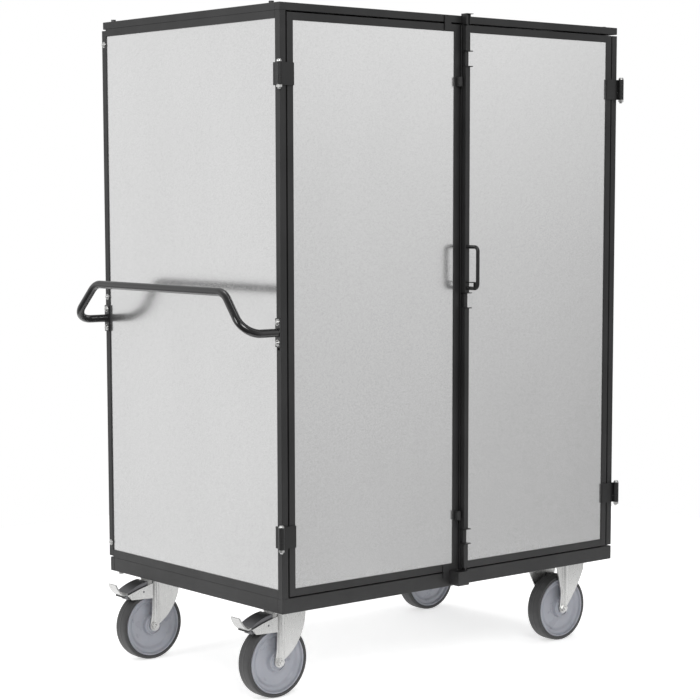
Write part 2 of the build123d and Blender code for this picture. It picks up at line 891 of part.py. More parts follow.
def leg_rib(x, top, side):
    """Half-round rib pressed into the outer face of a cheek."""
    offset = side * (leg_outer + fork_rib_out - fork_rib_d / 2)
    rib = upright(x, offset, (wheel_z + axle_head_d / 2, top), fork_rib_d)
    keep_y = (leg_inner, leg_inner + fork_rib_d) if side > 0 else (-leg_inner - fork_rib_d, -leg_inner)
    keep = block((x - fork_rib_d, x + fork_rib_d), keep_y, (wheel_z, top))
    return rib & keep


def axle_hole(x):
    return along_y(x, (-2 * leg_outer, 2 * leg_outer), wheel_z, axle_d + 2 * running_gap)


def swivel_fork(x, y):
    pieces = [upright(0, 0, (crown_low, crown_top), crown_d)]
    for side in (-1, 1):
        span = sorted((side * leg_inner, side * leg_outer))
        pieces.append(swivel_leg(span))
        pieces.append(leg_rib(fork_rib_offset - caster_trail, crown_low, side))
    bridge_x = (fork_bridge_back - caster_trail, fork_front)
    pieces.append(block(bridge_x, (-leg_outer, leg_outer), (crown_low, crown_low + crown_sheet / 2)))
    fork = joined(pieces)
    fork = fork - upright(0, 0, (crown_low, crown_top), kingpin_d + 2 * running_gap)
    fork = fork - axle_hole(-caster_trail)
    for side in (-1, 1):
        fork = fork - brake_pin_bar(side, 2 * running_gap)
    return Pos(x, y, 0) * fork


def fixed_forks():
    forks = []
    for x, y in caster_centres()[2:]:
        near = fixed_leg((-leg_outer, -leg_inner), 1) + leg_rib(fork_rib_offset, -plate_sheet, -1)
        far = fixed_leg((leg_inner, leg_outer), -1) + leg_rib(-fork_rib_offset, -plate_sheet, 1)
        yoke_z = (-plate_sheet - crown_sheet, -plate_sheet)
        yoke = block((-fork_front, fork_front), (-leg_inner, leg_inner), yoke_z)
        fork = joined([near, far, yoke]) - axle_hole(0)
        forks.append(Pos(x, y, 0) * fork)
    return forks


def axle(x, y):
    """Axle bolt with a hexagonal head in front and a nut behind."""
    reach = leg_outer + axle_head + axle_end
    shank = along_y(x, (y - reach, y + reach), wheel_z, axle_d)
    pieces = [shank]
    for side in (-1, 1):
        seat = side * leg_outer
        end = side * (leg_outer + axle_head)
        span = sorted((seat, end))
        sketch = RegularPolygon(radius=axle_head_d / 2, side_count=6, major_radius=False)
        head = extrude(sketch, amount=span[1] - span[0])
        pieces.append(Pos(x, y + span[0], wheel_z) * Rot(-90, 0, 0) * head)
    return joined(pieces)


def tyre(x, y):
    radius = wheel_d / 2
    half = wheel_width / 2
    body = along_y(0, (-half, half), 0, wheel_d)
    body = fillet(body.edges().filter_by(GeomType.CIRCLE), tyre_shoulder)
    bore = along_y(0, (-half, half), 0, 2 * (radius - tyre_thick))
    return Pos(x, y, wheel_z) * (body - bore)


def wheel_centre(x, y):
    """Moulded centre: rim with raised rings, stepped web and hub."""
    rim_d = wheel_d - 2 * tyre_thick
    half = wheel_width / 2
    body = along_y(0, (-half, half), 0, rim_d)
    for side in (-1, 1):
        outer = side * half
        for inner_d, floor in (
            (rim_d - 2 * rim_ring, half - rim_recess),
            (rim_d - 2 * web_step, web_width / 2),
        ):
            span = sorted((side * floor, outer))
            body = body - along_y(0, span, 0, inner_d)
    hub_half = half + hub_proud
    hub = along_y(0, (-hub_half, hub_half), 0, hub_d)
    hub = fillet(hub.edges().filter_by(GeomType.CIRCLE), edge_round)
    bore = along_y(0, (-hub_half, hub_half), 0, bearing_d)
    return Pos(x, y, wheel_z) * (body + hub - bore)


def wheel_bearing(x, y):
    half = wheel_width / 2 + hub_proud
    ring = along_y(0, (-half, half), 0, bearing_d)
    bore = along_y(0, (-half, half), 0, axle_d + 2 * running_gap)
    return Pos(x, y, wheel_z) * (ring - bore)


# ---- Brakes ----------------------------------------------------------------------------------------
def brake_pin_bar(side, extra):
    span = sorted((side * brake_half, side * leg_outer))
    return along_y(brake_pin_x, span, brake_pin_z, brake_pin_d + extra)


def bowed_strip(deep, y):
    """Stretch of the hood's bowed outline, as deep as stated."""
    inner = (hood_inner, hood_inner_z)
    outer = (hood_outer, hood_outer_z)
    crest = ((hood_inner + hood_outer) / 2, (hood_inner_z + hood_outer_z) / 2 + hood_bow)
    moves = (
        (crest, outer),
        ((outer[0], outer[1] - hood_thick),),
        ((crest[0], crest[1] - deep), (inner[0], inner[1] - deep)),
        (inner,),
    )
    return plate(inner, moves, y)


def brake_lever(x, y):
    """Bowed hood between the cheeks, with its side skirts, ears, stub pins and brake shoe."""
    pieces = [bowed_strip(hood_thick, (-brake_half, brake_half))]
    slope = (hood_outer_z - hood_inner_z) / (hood_outer - hood_inner)
    ear_top = hood_inner_z + slope * (brake_pin_x - hood_inner)
    for side in (-1, 1):
        span = sorted((side * brake_half, side * (brake_half - brake_sheet)))
        pieces.append(bowed_strip(hood_skirt, span))
        ear_start = (brake_pin_x + brake_ear, ear_top + slope * brake_ear)
        ear_moves = (
            ((brake_pin_x + brake_ear, brake_pin_z),),
            ((brake_pin_x, brake_pin_z - brake_ear), (brake_pin_x - brake_ear, brake_pin_z)),
            ((brake_pin_x - brake_ear, ear_top - slope * brake_ear),),
            (ear_start,),
        )
        pieces.append(plate(ear_start, ear_moves, span))
        pieces.append(brake_pin_bar(side, 0))
    shoe_start = (shoe_inner, hood_inner_z + slope * (shoe_inner - hood_inner))
    shoe_end = shoe_inner - shoe_long
    shoe_moves = (
        ((shoe_inner, shoe_low),),
        ((shoe_end, shoe_low),),
        ((shoe_end, hood_inner_z + slope * (shoe_end - hood_inner)),),
        (shoe_start,),
    )
    pieces.append(plate(shoe_start, shoe_moves, (-shoe_wide / 2, shoe_wide / 2)))
    return Pos(x, y, 0) * joined(pieces)


def brake_pedal(x, y):
    """Foot plate that runs on from the hood and curls up at its tip."""
    start = (hood_outer, hood_outer_z)
    knee = (hood_outer - pedal_flat, hood_outer_z - pedal_drop)
    tip = (knee[0] - pedal_curl, knee[1] + pedal_rise)
    inner_bend = (knee[0] - pedal_bend_along * pedal_curl, knee[1] + pedal_bend_up * pedal_rise)
    offset = pedal_bend_thin * hood_thick
    outer_bend = (inner_bend[0] - offset, inner_bend[1] - offset)
    moves = (
        (knee,),
        (inner_bend, tip),
        ((tip[0] - hood_thick, tip[1]),),
        (outer_bend, (knee[0], knee[1] - hood_thick)),
        ((start[0], start[1] - hood_thick),),
        (start,),
    )
    curled = plate(start, moves, (-brake_half, brake_half))
    end_x = tip[0] - hood_thick
    tip_half = pedal_tip_wide / 2
    plan = Polyline(
        (start[0], -brake_half), (start[0], brake_half), (end_x, tip_half), (end_x, -tip_half), close=True
    )
    below = start[1] - pedal_drop - 2 * hood_thick
    taper = Pos(0, 0, below) * extrude(make_face(plan), amount=pedal_rise + 4 * hood_thick)
    return Pos(x, y, 0) * (curled & taper)


def brake_pad(x, y):
    """Rubber grip under the pedal's flat."""
    low = hood_outer_z - hood_thick
    fall = pedal_drop / pedal_flat
    start = (hood_outer - pad_margin, low - fall * pad_margin)
    run = pedal_flat - 2 * pad_margin
    end = (start[0] - run, start[1] - fall * run)
    moves = (
        (end,),
        ((end[0], end[1] - pad_thick),),
        ((start[0], start[1] - pad_thick),),
        (start,),
    )
    half = brake_half - pad_inset
    return Pos(x, y, 0) * plate(start, moves, (-half, half))


# ---- Writing the nodes -----------------------------------------------------------------------------
def add_cabinet():
    add_node("base_frame", base_frame())
    add_node("floor_panel", floor_panel())
    add_node("roof_frame", roof_frame())
    add_node("roof_panel", roof_panel())
    add_node("left_wall_frame", left_wall_frame())
    add_node("left_wall_sheet", left_wall_sheet())
    add_node("right_wall_frame", right_wall_frame())
    add_node("right_wall_sheet", right_wall_sheet())
    add_node("rear_wall_frame", rear_wall_frame())
    add_node("rear_wall_sheet", rear_wall_sheet())
    add_node("rear_clips", rear_clips())
    add_node("rear_clip_bolts", rear_clip_bolts())
    add_node("wall_spacers", wall_spacers())
    add_node("roof_bolts", roof_bolts())
    add_node("base_bolts", base_bolts())
    add_node("shelves", shelves())
    add_node("shelf_runners", shelf_runners())
    add_node("push_handle", push_handle())
    add_node("push_handle_bolts", push_handle_bolts())
    add_node("top_keeper", top_keeper())
    add_node("bottom_keeper", bottom_keeper())


def add_doors():
    left = (door_left, door_left + door_width)
    right = (right_door_left, right_door_left + door_width)
    add_node("left_door_frame", door_frame(left))
    add_node("left_door_sheet", door_sheet(left))
    add_node("left_door_stops", left_door_stops())
    add_node("right_door_frame", door_frame(right))
    add_node("right_door_sheet", door_sheet(right))
    add_node("latch_guides", latch_guides())
    add_node("latch_bar", latch_bar())
    add_node("latch_handle", latch_handle())
    door_leaves = [door_hinge_leaf(low) for low in hinge_spans()]
    frame_leaves = []
    pins = []
    for low in hinge_spans():
        frame_leaves.extend(both_sides(frame_hinge_leaf(low), middle))
        pins.extend(both_sides(hinge_pin(low), middle))
    add_node("left_door_hinge_leaves", door_leaves)
    add_node("right_door_hinge_leaves", [mirrored(leaf, middle) for leaf in door_leaves])
    add_node("frame_hinge_leaves", frame_leaves)
    add_node("hinge_pins", pins)


def add_casters():
    add_node("caster_plates", caster_plates())
    add_node("caster_plate_bolts", caster_plate_bolts())
    add_node("kingpins", kingpins())
    add_node("fixed_forks", fixed_forks())
    centres = caster_centres()
    add_node("fixed_axles", [axle(x, y) for x, y in centres[2:]])
    for name, (x, y) in zip(("front_swivel", "rear_swivel"), centres[:2]):
        wheel_x = x - caster_trail
        add_node(f"{name}_fork", swivel_fork(x, y))
        add_node(f"{name}_axle", axle(wheel_x, y))
        add_node(f"{name}_tyre", tyre(wheel_x, y))
        add_node(f"{name}_wheel_centre", wheel_centre(wheel_x, y))
        add_node(f"{name}_bearing", wheel_bearing(wheel_x, y))
        add_node(f"{name}_brake_lever", brake_lever(x, y))
        add_node(f"{name}_brake_pedal", brake_pedal(x, y))
        add_node(f"{name}_brake_pad", brake_pad(x, y))
    for name, (x, y) in zip(("front_fixed", "rear_fixed"), centres[2:]):
        add_node(f"{name}_tyre", tyre(x, y))
        add_node(f"{name}_wheel_centre", wheel_centre(x, y))
        add_node(f"{name}_bearing", wheel_bearing(x, y))


os.makedirs("parts", exist_ok=True)
add_cabinet()
add_doors()
add_casters()
write_nodes()
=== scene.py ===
import json
import math

import bmesh
import bpy
from mathutils import Matrix, Vector
from mathutils.bvhtree import BVHTree


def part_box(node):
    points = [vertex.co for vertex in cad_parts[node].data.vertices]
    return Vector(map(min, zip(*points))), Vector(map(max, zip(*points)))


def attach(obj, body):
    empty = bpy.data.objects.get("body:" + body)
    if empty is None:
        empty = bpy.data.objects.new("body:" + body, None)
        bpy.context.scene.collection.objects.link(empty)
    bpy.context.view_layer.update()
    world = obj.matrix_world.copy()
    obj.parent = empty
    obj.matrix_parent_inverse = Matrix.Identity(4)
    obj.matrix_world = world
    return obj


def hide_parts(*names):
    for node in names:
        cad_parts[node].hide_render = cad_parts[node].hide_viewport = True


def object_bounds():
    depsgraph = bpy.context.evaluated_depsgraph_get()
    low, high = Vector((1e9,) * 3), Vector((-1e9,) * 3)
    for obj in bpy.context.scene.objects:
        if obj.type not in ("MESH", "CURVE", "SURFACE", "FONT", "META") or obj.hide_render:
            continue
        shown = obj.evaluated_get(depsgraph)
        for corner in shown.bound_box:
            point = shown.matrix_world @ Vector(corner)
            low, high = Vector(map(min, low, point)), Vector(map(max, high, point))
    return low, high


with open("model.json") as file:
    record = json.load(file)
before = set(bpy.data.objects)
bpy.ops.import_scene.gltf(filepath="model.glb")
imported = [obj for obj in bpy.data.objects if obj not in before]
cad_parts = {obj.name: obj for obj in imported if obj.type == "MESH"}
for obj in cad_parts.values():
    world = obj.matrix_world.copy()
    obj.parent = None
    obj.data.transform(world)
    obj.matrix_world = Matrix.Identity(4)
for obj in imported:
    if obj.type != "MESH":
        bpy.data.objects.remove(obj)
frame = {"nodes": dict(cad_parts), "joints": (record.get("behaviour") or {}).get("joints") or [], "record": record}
cad_low, cad_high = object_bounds()
NODES = frame["nodes"]
RECORD = frame["record"]
MM = 0.001
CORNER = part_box("base_frame")[0]
TUBE = 20 * MM  # side of the square frame tube
FLANGE = 4 * MM  # thickness of the push handle's flanges


def cabinet(x, y, z):
    """A point given in millimetres from the base frame's front left bottom corner."""
    return CORNER + Vector((x, y, z)) * MM


# ---- Materials -----------------------------------------------------------------------------------
class Nodes:
    """Short ways to add, set and join the nodes of one tree."""

    def __init__(self, tree):
        self.tree = tree

    def add(self, kind, **settings):
        node = self.tree.nodes.new(kind)
        for key, value in settings.items():
            setattr(node, key, value)
        return node

    def link(self, output, socket):
        self.tree.links.new(output, socket)

    def ramp(self, value, *stops):
        """Colours or greys blended between stops of position and colour."""
        node = self.add("ShaderNodeValToRGB")
        elements = node.color_ramp.elements
        while len(elements) < len(stops):
            elements.new(0.5)
        for element, (position, colour) in zip(elements, stops):
            element.position = position
            element.color = (*colour, 1) if isinstance(colour, tuple) else (colour, colour, colour, 1)
        self.link(value, node.inputs["Fac"])
        return node.outputs["Color"]

    def mix(self, kind, amount, first, second):
        """Two colours mixed by an amount, each of them a value or another node's output."""
        node = self.add("ShaderNodeMix", data_type="RGBA", blend_type=kind)
        if isinstance(amount, float):
            node.inputs[0].default_value = amount
        else:
            self.link(amount, node.inputs[0])
        for socket, value in ((node.inputs[6], first), (node.inputs[7], second)):
            if isinstance(value, tuple):
                socket.default_value = (*value, 1)
            else:
                self.link(value, socket)
        return node.outputs[2]


class Graph(Nodes):
    """A node material with its principled shader and object coordinates."""

    NOISE_ROUGHNESS = 0.55

    def __init__(self, name, colour, roughness, metallic=0.0, **sockets):
        self.material = bpy.data.materials.new(name)
        self.material.use_nodes = True
        super().__init__(self.material.node_tree)
        self.shader = self.tree.nodes["Principled BSDF"]
        self.coords = self.add("ShaderNodeTexCoord").outputs["Object"]
        self.shader.inputs["Base Color"].default_value = (*colour, 1)
        self.shader.inputs["Roughness"].default_value = roughness
        self.shader.inputs["Metallic"].default_value = metallic
        for socket, value in sockets.items():
            self.shader.inputs[socket.replace("_", " ")].default_value = value

    def stretched(self, scale):
        """Object coordinates, scaled differently along each axis."""
        mapping = self.add("ShaderNodeMapping")
        mapping.inputs["Scale"].default_value = scale
        self.link(self.coords, mapping.inputs["Vector"])
        return mapping.outputs["Vector"]

    def noise(self, scale, detail, coords=None):
        node = self.add("ShaderNodeTexNoise")
        node.inputs["Scale"].default_value = scale
        node.inputs["Detail"].default_value = detail
        node.inputs["Roughness"].default_value = self.NOISE_ROUGHNESS
        self.link(coords or self.coords, node.inputs["Vector"])
        return node.outputs["Fac"]

    def cells(self, scale):
        """One random value for each crystal of a Voronoi pattern."""
        node = self.add("ShaderNodeTexVoronoi")
        node.inputs["Scale"].default_value = scale
        self.link(self.coords, node.inputs["Vector"])
        split = self.add("ShaderNodeSeparateColor")
        self.link(node.outputs["Color"], split.inputs["Color"])
        return split.outputs["Red"]

    def span(self, value, low, high):
        """The value, from 0 to 1, moved to run from low to high."""
        node = self.add("ShaderNodeMapRange")
        node.inputs["To Min"].default_value = low
        node.inputs["To Max"].default_value = high
        self.link(value, node.inputs["Value"])
        return node.outputs["Result"]

    def colour(self, output):
        self.link(output, self.shader.inputs["Base Color"])

    def rough(self, output):
        self.link(output, self.shader.inputs["Roughness"])

    def bump(self, height, strength, distance, after=None):
        """Raises the surface by a height, on top of an earlier bump if one is given."""
        node = self.add("ShaderNodeBump")
        node.inputs["Strength"].default_value = strength
        node.inputs["Distance"].default_value = distance
        self.link(height, node.inputs["Height"])
        if after:
            self.link(after, node.inputs["Normal"])
        self.link(node.outputs["Normal"], self.shader.inputs["Normal"])
        return node.outputs["Normal"]


def powder_coat(name, tone, roughness, grain=1.0):
    """Charcoal powder coat: orange-peel skin, faint dust and rubbed patches."""
    g = Graph(name, tone, roughness)
    patches = g.noise(6.0, 5.0)
    light = tuple(min(1.0, c * 1.28 + 0.002) for c in tone)
    dark = tuple(c * 0.8 for c in tone)
    base = g.ramp(patches, (0.3, dark), (0.5, tone), (0.72, light))
    fleck = g.ramp(g.noise(900.0, 2.0), (0.62, 0.0), (0.75, 0.35))
    g.colour(g.mix("SCREEN", 0.05, base, fleck))
    g.rough(g.span(g.noise(22.0, 6.0), roughness - 0.07, roughness + 0.09))
    peel = g.bump(g.noise(420.0 * grain, 2.0), 0.16, 0.0004)
    g.bump(g.noise(1500.0, 1.0), 0.08, 0.0002, peel)
    return g.material


def galvanised(name):
    """Galvanised sheet: very fine spangle, scattered darker crystals and slow, shallow rolling waves."""
    g = Graph(name, (0.66, 0.66, 0.662), 0.27, 0.86)
    spangle = g.cells(330.0)
    small = g.cells(820.0)
    broad = g.noise(4.0, 5.0, g.stretched((1.0, 1.0, 0.55)))
    grey = g.ramp(spangle, (0.0, 0.70), (0.35, 0.74), (1.0, 0.775))
    specks = g.ramp(small, (0.0, 0.84), (0.10, 0.94), (0.22, 1.0))
    cloud = g.ramp(broad, (0.25, 0.95), (0.75, 1.0))
    g.colour(g.mix("MULTIPLY", 1.0, g.mix("MULTIPLY", 0.8, grey, specks), cloud))
    g.rough(g.span(g.mix("MIX", 0.5, spangle, broad), 0.16, 0.26))
    waves = g.bump(g.noise(2.6, 2.0), 0.10, 0.004)
    g.bump(spangle, 0.05, 0.0002, waves)
    return g.material


def zinc(name, tone, roughness, streak=(34.0, 34.0, 3.0)):
    """Bright zinc plate with fine drawing marks along the part and a few dull patches."""
    g = Graph(name, tone, roughness, 0.92)
    lines = g.noise(14.0, 6.0, g.stretched(streak))
    dull = g.noise(30.0, 4.0)
    light = tuple(min(1.0, c * 1.04) for c in tone)
    dark = tuple(c * 0.94 for c in tone)
    base = g.ramp(lines, (0.3, dark), (0.55, tone), (0.8, light))
    g.colour(g.mix("MULTIPLY", 0.25, base, g.ramp(dull, (0.32, 0.88), (0.62, 1.0))))
    g.rough(g.span(lines, roughness - 0.03, roughness + 0.05))
    g.bump(g.noise(240.0, 2.0), 0.02, 0.0001)
    return g.material


def rubber(name, tone, roughness, grain=700.0):
    """Moulded rubber with a fine matt grain and faint scuffs."""
    g = Graph(name, tone, roughness, 0.0, Sheen_Weight=0.08)
    scuff = g.noise(45.0, 6.0)
    light = tuple(c * 1.35 + 0.004 for c in tone)
    g.colour(g.ramp(scuff, (0.35, tuple(c * 0.85 for c in tone)), (0.6, tone), (0.85, light)))
    g.rough(g.span(scuff, roughness - 0.05, roughness + 0.12))
    g.bump(g.noise(grain, 2.0), 0.12, 0.0003)
    return g.material


def nylon(name, tone):
    """Moulded blue-grey nylon with flow marks and a soft gloss."""
    g = Graph(name, tone, 0.30, 0.0, Subsurface_Weight=0.05, Subsurface_Scale=0.004)
    flow = g.noise(16.0, 5.0, g.stretched((1.0, 3.0, 1.0)))
    light = tuple(min(1.0, c * 1.08) for c in tone)
    g.colour(g.ramp(flow, (0.3, tuple(c * 0.92 for c in tone)), (0.55, tone), (0.8, light)))
    g.rough(g.span(flow, 0.22, 0.36))
    g.bump(g.noise(520.0, 2.0), 0.05, 0.0003)
    return g.material


def gloss_black(name):
    """Glossy black powder coat, smoothed where hands have held it."""
    g = Graph(name, (0.008, 0.008, 0.009), 0.17, 0.0, Coat_Weight=0.35, Coat_Roughness=0.06)
    wear = g.noise(9.0, 4.0)
    g.colour(g.ramp(wear, (0.3, (0.006, 0.006, 0.0065)), (0.7, (0.012, 0.012, 0.013))))
    g.rough(g.span(wear, 0.12, 0.26))
    g.bump(g.noise(330.0, 2.0), 0.05, 0.0003)
    return g.material


MATERIALS = {
    "powder_coat": powder_coat("powder_coat", (0.020, 0.020, 0.0203), 0.46),
    "black_coat": powder_coat("black_coat", (0.013, 0.013, 0.0132), 0.40, 1.4),
    "galvanised": galvanised("galvanised_sheet"),
    "zinc": zinc("zinc_plate", (0.56, 0.56, 0.553), 0.27),
    "black_zinc": powder_coat("black_zinc", (0.012, 0.012, 0.012), 0.34, 2.0),
    "dark_steel": zinc("dull_steel", (0.16, 0.16, 0.168), 0.36, (40.0, 4.0, 40.0)),
    "gloss_black": gloss_black("gloss_black"),
    "tyre": rubber("tyre_rubber", (0.044, 0.044, 0.045), 0.58),
    "wheel_nylon": nylon("wheel_nylon", (0.335, 0.345, 0.385)),
    "rubber": rubber("pad_rubber", (0.012, 0.012, 0.012), 0.6, 400.0),
}
SLOTS = {part["node"]: part["material_slot"] for part in RECORD["subparts"]}


def dress(obj, slot):
    """Gives an object the material of a slot in place of its own."""
    obj.data.materials.clear()
    obj.data.materials.append(MATERIALS[slot])


for node_name, node in NODES.items():
    dress(node, SLOTS[node_name])


# ---- Mesh helpers --------------------------------------------------------------------------------
def finish_mesh(name, bm, slot, body, sharp=0.6):
    """Turns a bmesh into a piece on a body, with hard edges where faces turn by over sharp radians."""
    bmesh.ops.remove_doubles(bm, verts=bm.verts, dist=1e-7)
    bmesh.ops.recalc_face_normals(bm, faces=bm.faces)
    for face in bm.faces:
        face.smooth = True
    for edge in bm.edges:
        if len(edge.link_faces) == 2 and edge.calc_face_angle(0.0) > sharp:
            edge.smooth = False
    mesh = bpy.data.meshes.new(name)
    bm.to_mesh(mesh)
    bm.free()
    piece = bpy.data.objects.new(name, mesh)
    bpy.context.scene.collection.objects.link(piece)
    dress(piece, slot)
    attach(piece, body)
    return piece


def rounded(points, radii, steps=4):
    """Closed profile with each corner replaced by an arc-like curve of the given radius."""
    out = []
    count = len(points)
    for i, point in enumerate(points):
        p = Vector(point)
        before = Vector(points[i - 1]) - p
        after = Vector(points[(i + 1) % count]) - p
        r = min(radii[i], 0.48 * before.length, 0.48 * after.length)
        a = p + before.normalized() * r
        b = p + after.normalized() * r
        for k in range(steps + 1):
            t = k / steps
            out.append(tuple(a * (1 - t) ** 2 + p * 2 * t * (1 - t) + b * t ** 2))
    return out


# Turns that lay a profile's own axis, z, along each axis of the frame.
AXES = {
    "x": Matrix(((0, 0, 1), (1, 0, 0), (0, 1, 0))),
    "y": Matrix(((1, 0, 0), (0, 0, -1), (0, 1, 0))),
    "z": Matrix.Identity(3),
}


def lathe(bm, profile, centre, axis, segments=96):
    """Revolves a closed profile of radius and height, in millimetres, about an axis through centre."""
    turn = AXES[axis]
    rings = []
    for i in range(segments):
        angle = 2 * math.pi * i / segments
        ring = []
        for r, h in profile:
            local = Vector((r * math.cos(angle), r * math.sin(angle), h)) * MM
            ring.append(bm.verts.new(centre + turn @ local))
        rings.append(ring)
    count = len(profile)
    for i in range(segments):
        here, there = rings[i], rings[(i + 1) % segments]
        for k in range(count):
            bm.faces.new((here[k], here[(k + 1) % count], there[(k + 1) % count], there[k]))


def dome(bm, centre, normal, radius, height, segments=10, rings=4):
    """Small raised button on a surface."""
    up = normal.normalized()
    side = up.orthogonal().normalized()
    other = up.cross(side)
    rows = []
    for k in range(rings):
        share = k / rings * math.pi / 2
        row = []
        for i in range(segments):
            angle = 2 * math.pi * i / segments
            out = (side * math.cos(angle) + other * math.sin(angle)) * radius * math.cos(share)
            row.append(bm.verts.new(centre + out + up * height * math.sin(share)))
        rows.append(row)
    top = bm.verts.new(centre + up * height)
    bottom = bm.verts.new(centre - up * height * 0.3)
    for k in range(rings - 1):
        for i in range(segments):
            j = (i + 1) % segments
            bm.faces.new((rows[k][i], rows[k][j], rows[k + 1][j], rows[k + 1][i]))
    for i in range(segments):
        j = (i + 1) % segments
        bm.faces.new((rows[-1][i], rows[-1][j], top))
        bm.faces.new((rows[0][j], rows[0][i], bottom))


# ---- Wheels --------------------------------------------------------------------------------------
WHEELS = ("front_swivel", "rear_swivel", "front_fixed", "rear_fixed")


def middle(node):
    """The middle of a node's box."""
    low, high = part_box(node)
    return (low + high) / 2


def on_side(profile, side):
    """A profile of radius and height as it is for side 1, or mirrored for side -1."""
    return [(r, side * h) for r, h in profile]


def both_faces(half_profile):
    """A wheel's profile: the half above its middle plane, then the same mirrored below."""
    return half_profile + on_side(half_profile[::-1], -1)


def build_tyre(name):
    """Crowned tread, rounded shoulders and a slightly hollow sidewall, with a mould line round the middle."""
    half = [
        (89.2, 0.0), (89.2, 22.6), (90.6, 23.2), (92.4, 22.7), (94.6, 22.6), (96.2, 23.1),
        (97.4, 22.4), (98.6, 20.6), (99.3, 17.5), (99.62, 12.0), (99.72, 5.0), (99.74, 0.9), (99.96, 0.5),
    ]
    bm = bmesh.new()
    lathe(bm, both_faces(half), middle(f"{name}_tyre"), "y", 160)
    piece = finish_mesh(f"{name}_tyre_tread", bm, "tyre", f"{name}_wheel", 0.9)
    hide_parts(f"{name}_tyre")


def build_wheel_centre(name):
    """Rim with a rounded outer ring, a dished web with a rolled step, and a stepped hub."""
    corners = [
        (14.0, 25.5, 0.4), (19.0, 25.5, 0.8), (20.0, 23.4, 0.8), (23.4, 23.4, 0.8), (24.2, 25.5, 0.8),
        (26.9, 25.5, 1.4), (29.5, 10.5, 5.0), (66.0, 9.0, 4.0), (72.5, 14.6, 3.0), (82.0, 15.3, 3.0),
        (83.4, 21.4, 1.6), (84.6, 23.5, 1.4), (87.4, 23.5, 1.4), (88.0, 20.4, 0.6), (89.15, 20.0, 0.2),
        (89.15, 18.0, 0.2),
    ]
    points = [(r, h) for r, h, _ in corners]
    radii = [q for _, _, q in corners]
    smooth = rounded(both_faces(points), radii + radii[::-1])
    bm = bmesh.new()
    lathe(bm, smooth, middle(f"{name}_wheel_centre"), "y", 128)
    piece = finish_mesh(f"{name}_moulded_centre", bm, "wheel_nylon", f"{name}_wheel", 0.7)
    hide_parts(f"{name}_wheel_centre")


def build_bearing_seals(name):
    """Pressed ring over each face of the bearing."""
    bm = bmesh.new()
    centre = middle(f"{name}_bearing")
    ring = [(7.2, 25.4), (7.2, 25.9), (9.0, 26.15), (12.2, 26.15), (13.4, 25.9), (13.4, 25.4)]
    for side in (-1, 1):
        lathe(bm, on_side(ring, side), centre, "y", 48)
    finish_mesh(f"{name}_bearing_seals", bm, "zinc", f"{name}_wheel")


def build_axle_ends(name, body):
    """Washer and rounded bolt end on both sides of the fork."""
    bm = bmesh.new()
    centre = middle(f"{name}_bearing")
    washer = [(8.0, 32.02), (12.2, 32.02), (12.5, 32.4), (12.2, 33.2), (8.0, 33.2)]
    stub = [(0.01, 41.0), (5.6, 41.0), (5.6, 42.4), (4.9, 43.2), (0.01, 43.6)]
    for side in (-1, 1):
        lathe(bm, on_side(washer, side), centre, "y", 48)
        lathe(bm, on_side(stub, side), centre, "y", 32)
    finish_mesh(f"{name}_axle_ends", bm, "zinc", body)


for wheel in WHEELS:
    build_tyre(wheel)
    build_wheel_centre(wheel)
    build_bearing_seals(wheel)
    build_axle_ends(wheel, wheel if "swivel" in wheel else "cabinet")


# ---- Swivel heads and brakes ---------------------------------------------------------------------
def build_dust_ring(name):
    """Rolled lip that hides the swivel's ball race."""
    joint = next(j for j in frame["joints"] if j["name"] == f"{name}_turn")
    centre = Vector(joint["pos_m"])
    centre.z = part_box(f"{name}_fork")[1].z
    lip = [
        (39.2, 4.2), (40.6, 5.0), (42.6, 4.2), (43.4, 2.0), (43.4, -3.0), (42.6, -5.0), (41.6, -5.0),
        (41.6, 0.2), (39.2, 0.2),
    ]
    bm = bmesh.new()
    lathe(bm, rounded(lip, [0.5] * len(lip), 2), centre, "z")
    finish_mesh(f"{name}_dust_ring", bm, "zinc", name)


def build_pedal_grip(name):
    """Rows of pressed buttons on the pedal's upper face, each placed by a ray from the cart's side."""
    rows, columns = 5, 9
    first_row, row_step = 0.40, 0.12  # shares of the pedal's height
    side_margin = 5 * MM
    edge_room = 3 * MM
    stand_off, lift = 20 * MM, 12 * MM
    aim = Vector((-0.92, 0, -0.3))
    pedal = NODES[f"{name}_brake_pedal"]
    surface = BVHTree.FromPolygons(
        [v.co.copy() for v in pedal.data.vertices], [tuple(p.vertices) for p in pedal.data.polygons]
    )
    low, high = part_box(f"{name}_brake_pedal")
    bm = bmesh.new()
    for row in range(rows):
        height = low.z + (high.z - low.z) * (first_row + row_step * row)
        shift = 0.5 if row % 2 else 0.0
        for column in range(columns):
            share = (column + shift) / (columns - 0.5)
            y = low.y + side_margin + share * (high.y - low.y - 2 * side_margin)
            start = Vector((high.x + stand_off, y, height + lift))
            hit, normal, _, _ = surface.ray_cast(start, aim)
            edges = [start + Vector((0, edge, 0)) for edge in (-edge_room, edge_room)]
            if hit and all(surface.ray_cast(edge, aim)[0] for edge in edges):
                out = normal if normal.x > 0 else -normal
                dome(bm, hit, out, 1.7 * MM, 0.8 * MM)
    finish_mesh(f"{name}_pedal_grip", bm, "zinc", f"{name}_brake")


for swivel in ("front_swivel", "rear_swivel"):
    build_dust_ring(swivel)
    build_pedal_grip(swivel)


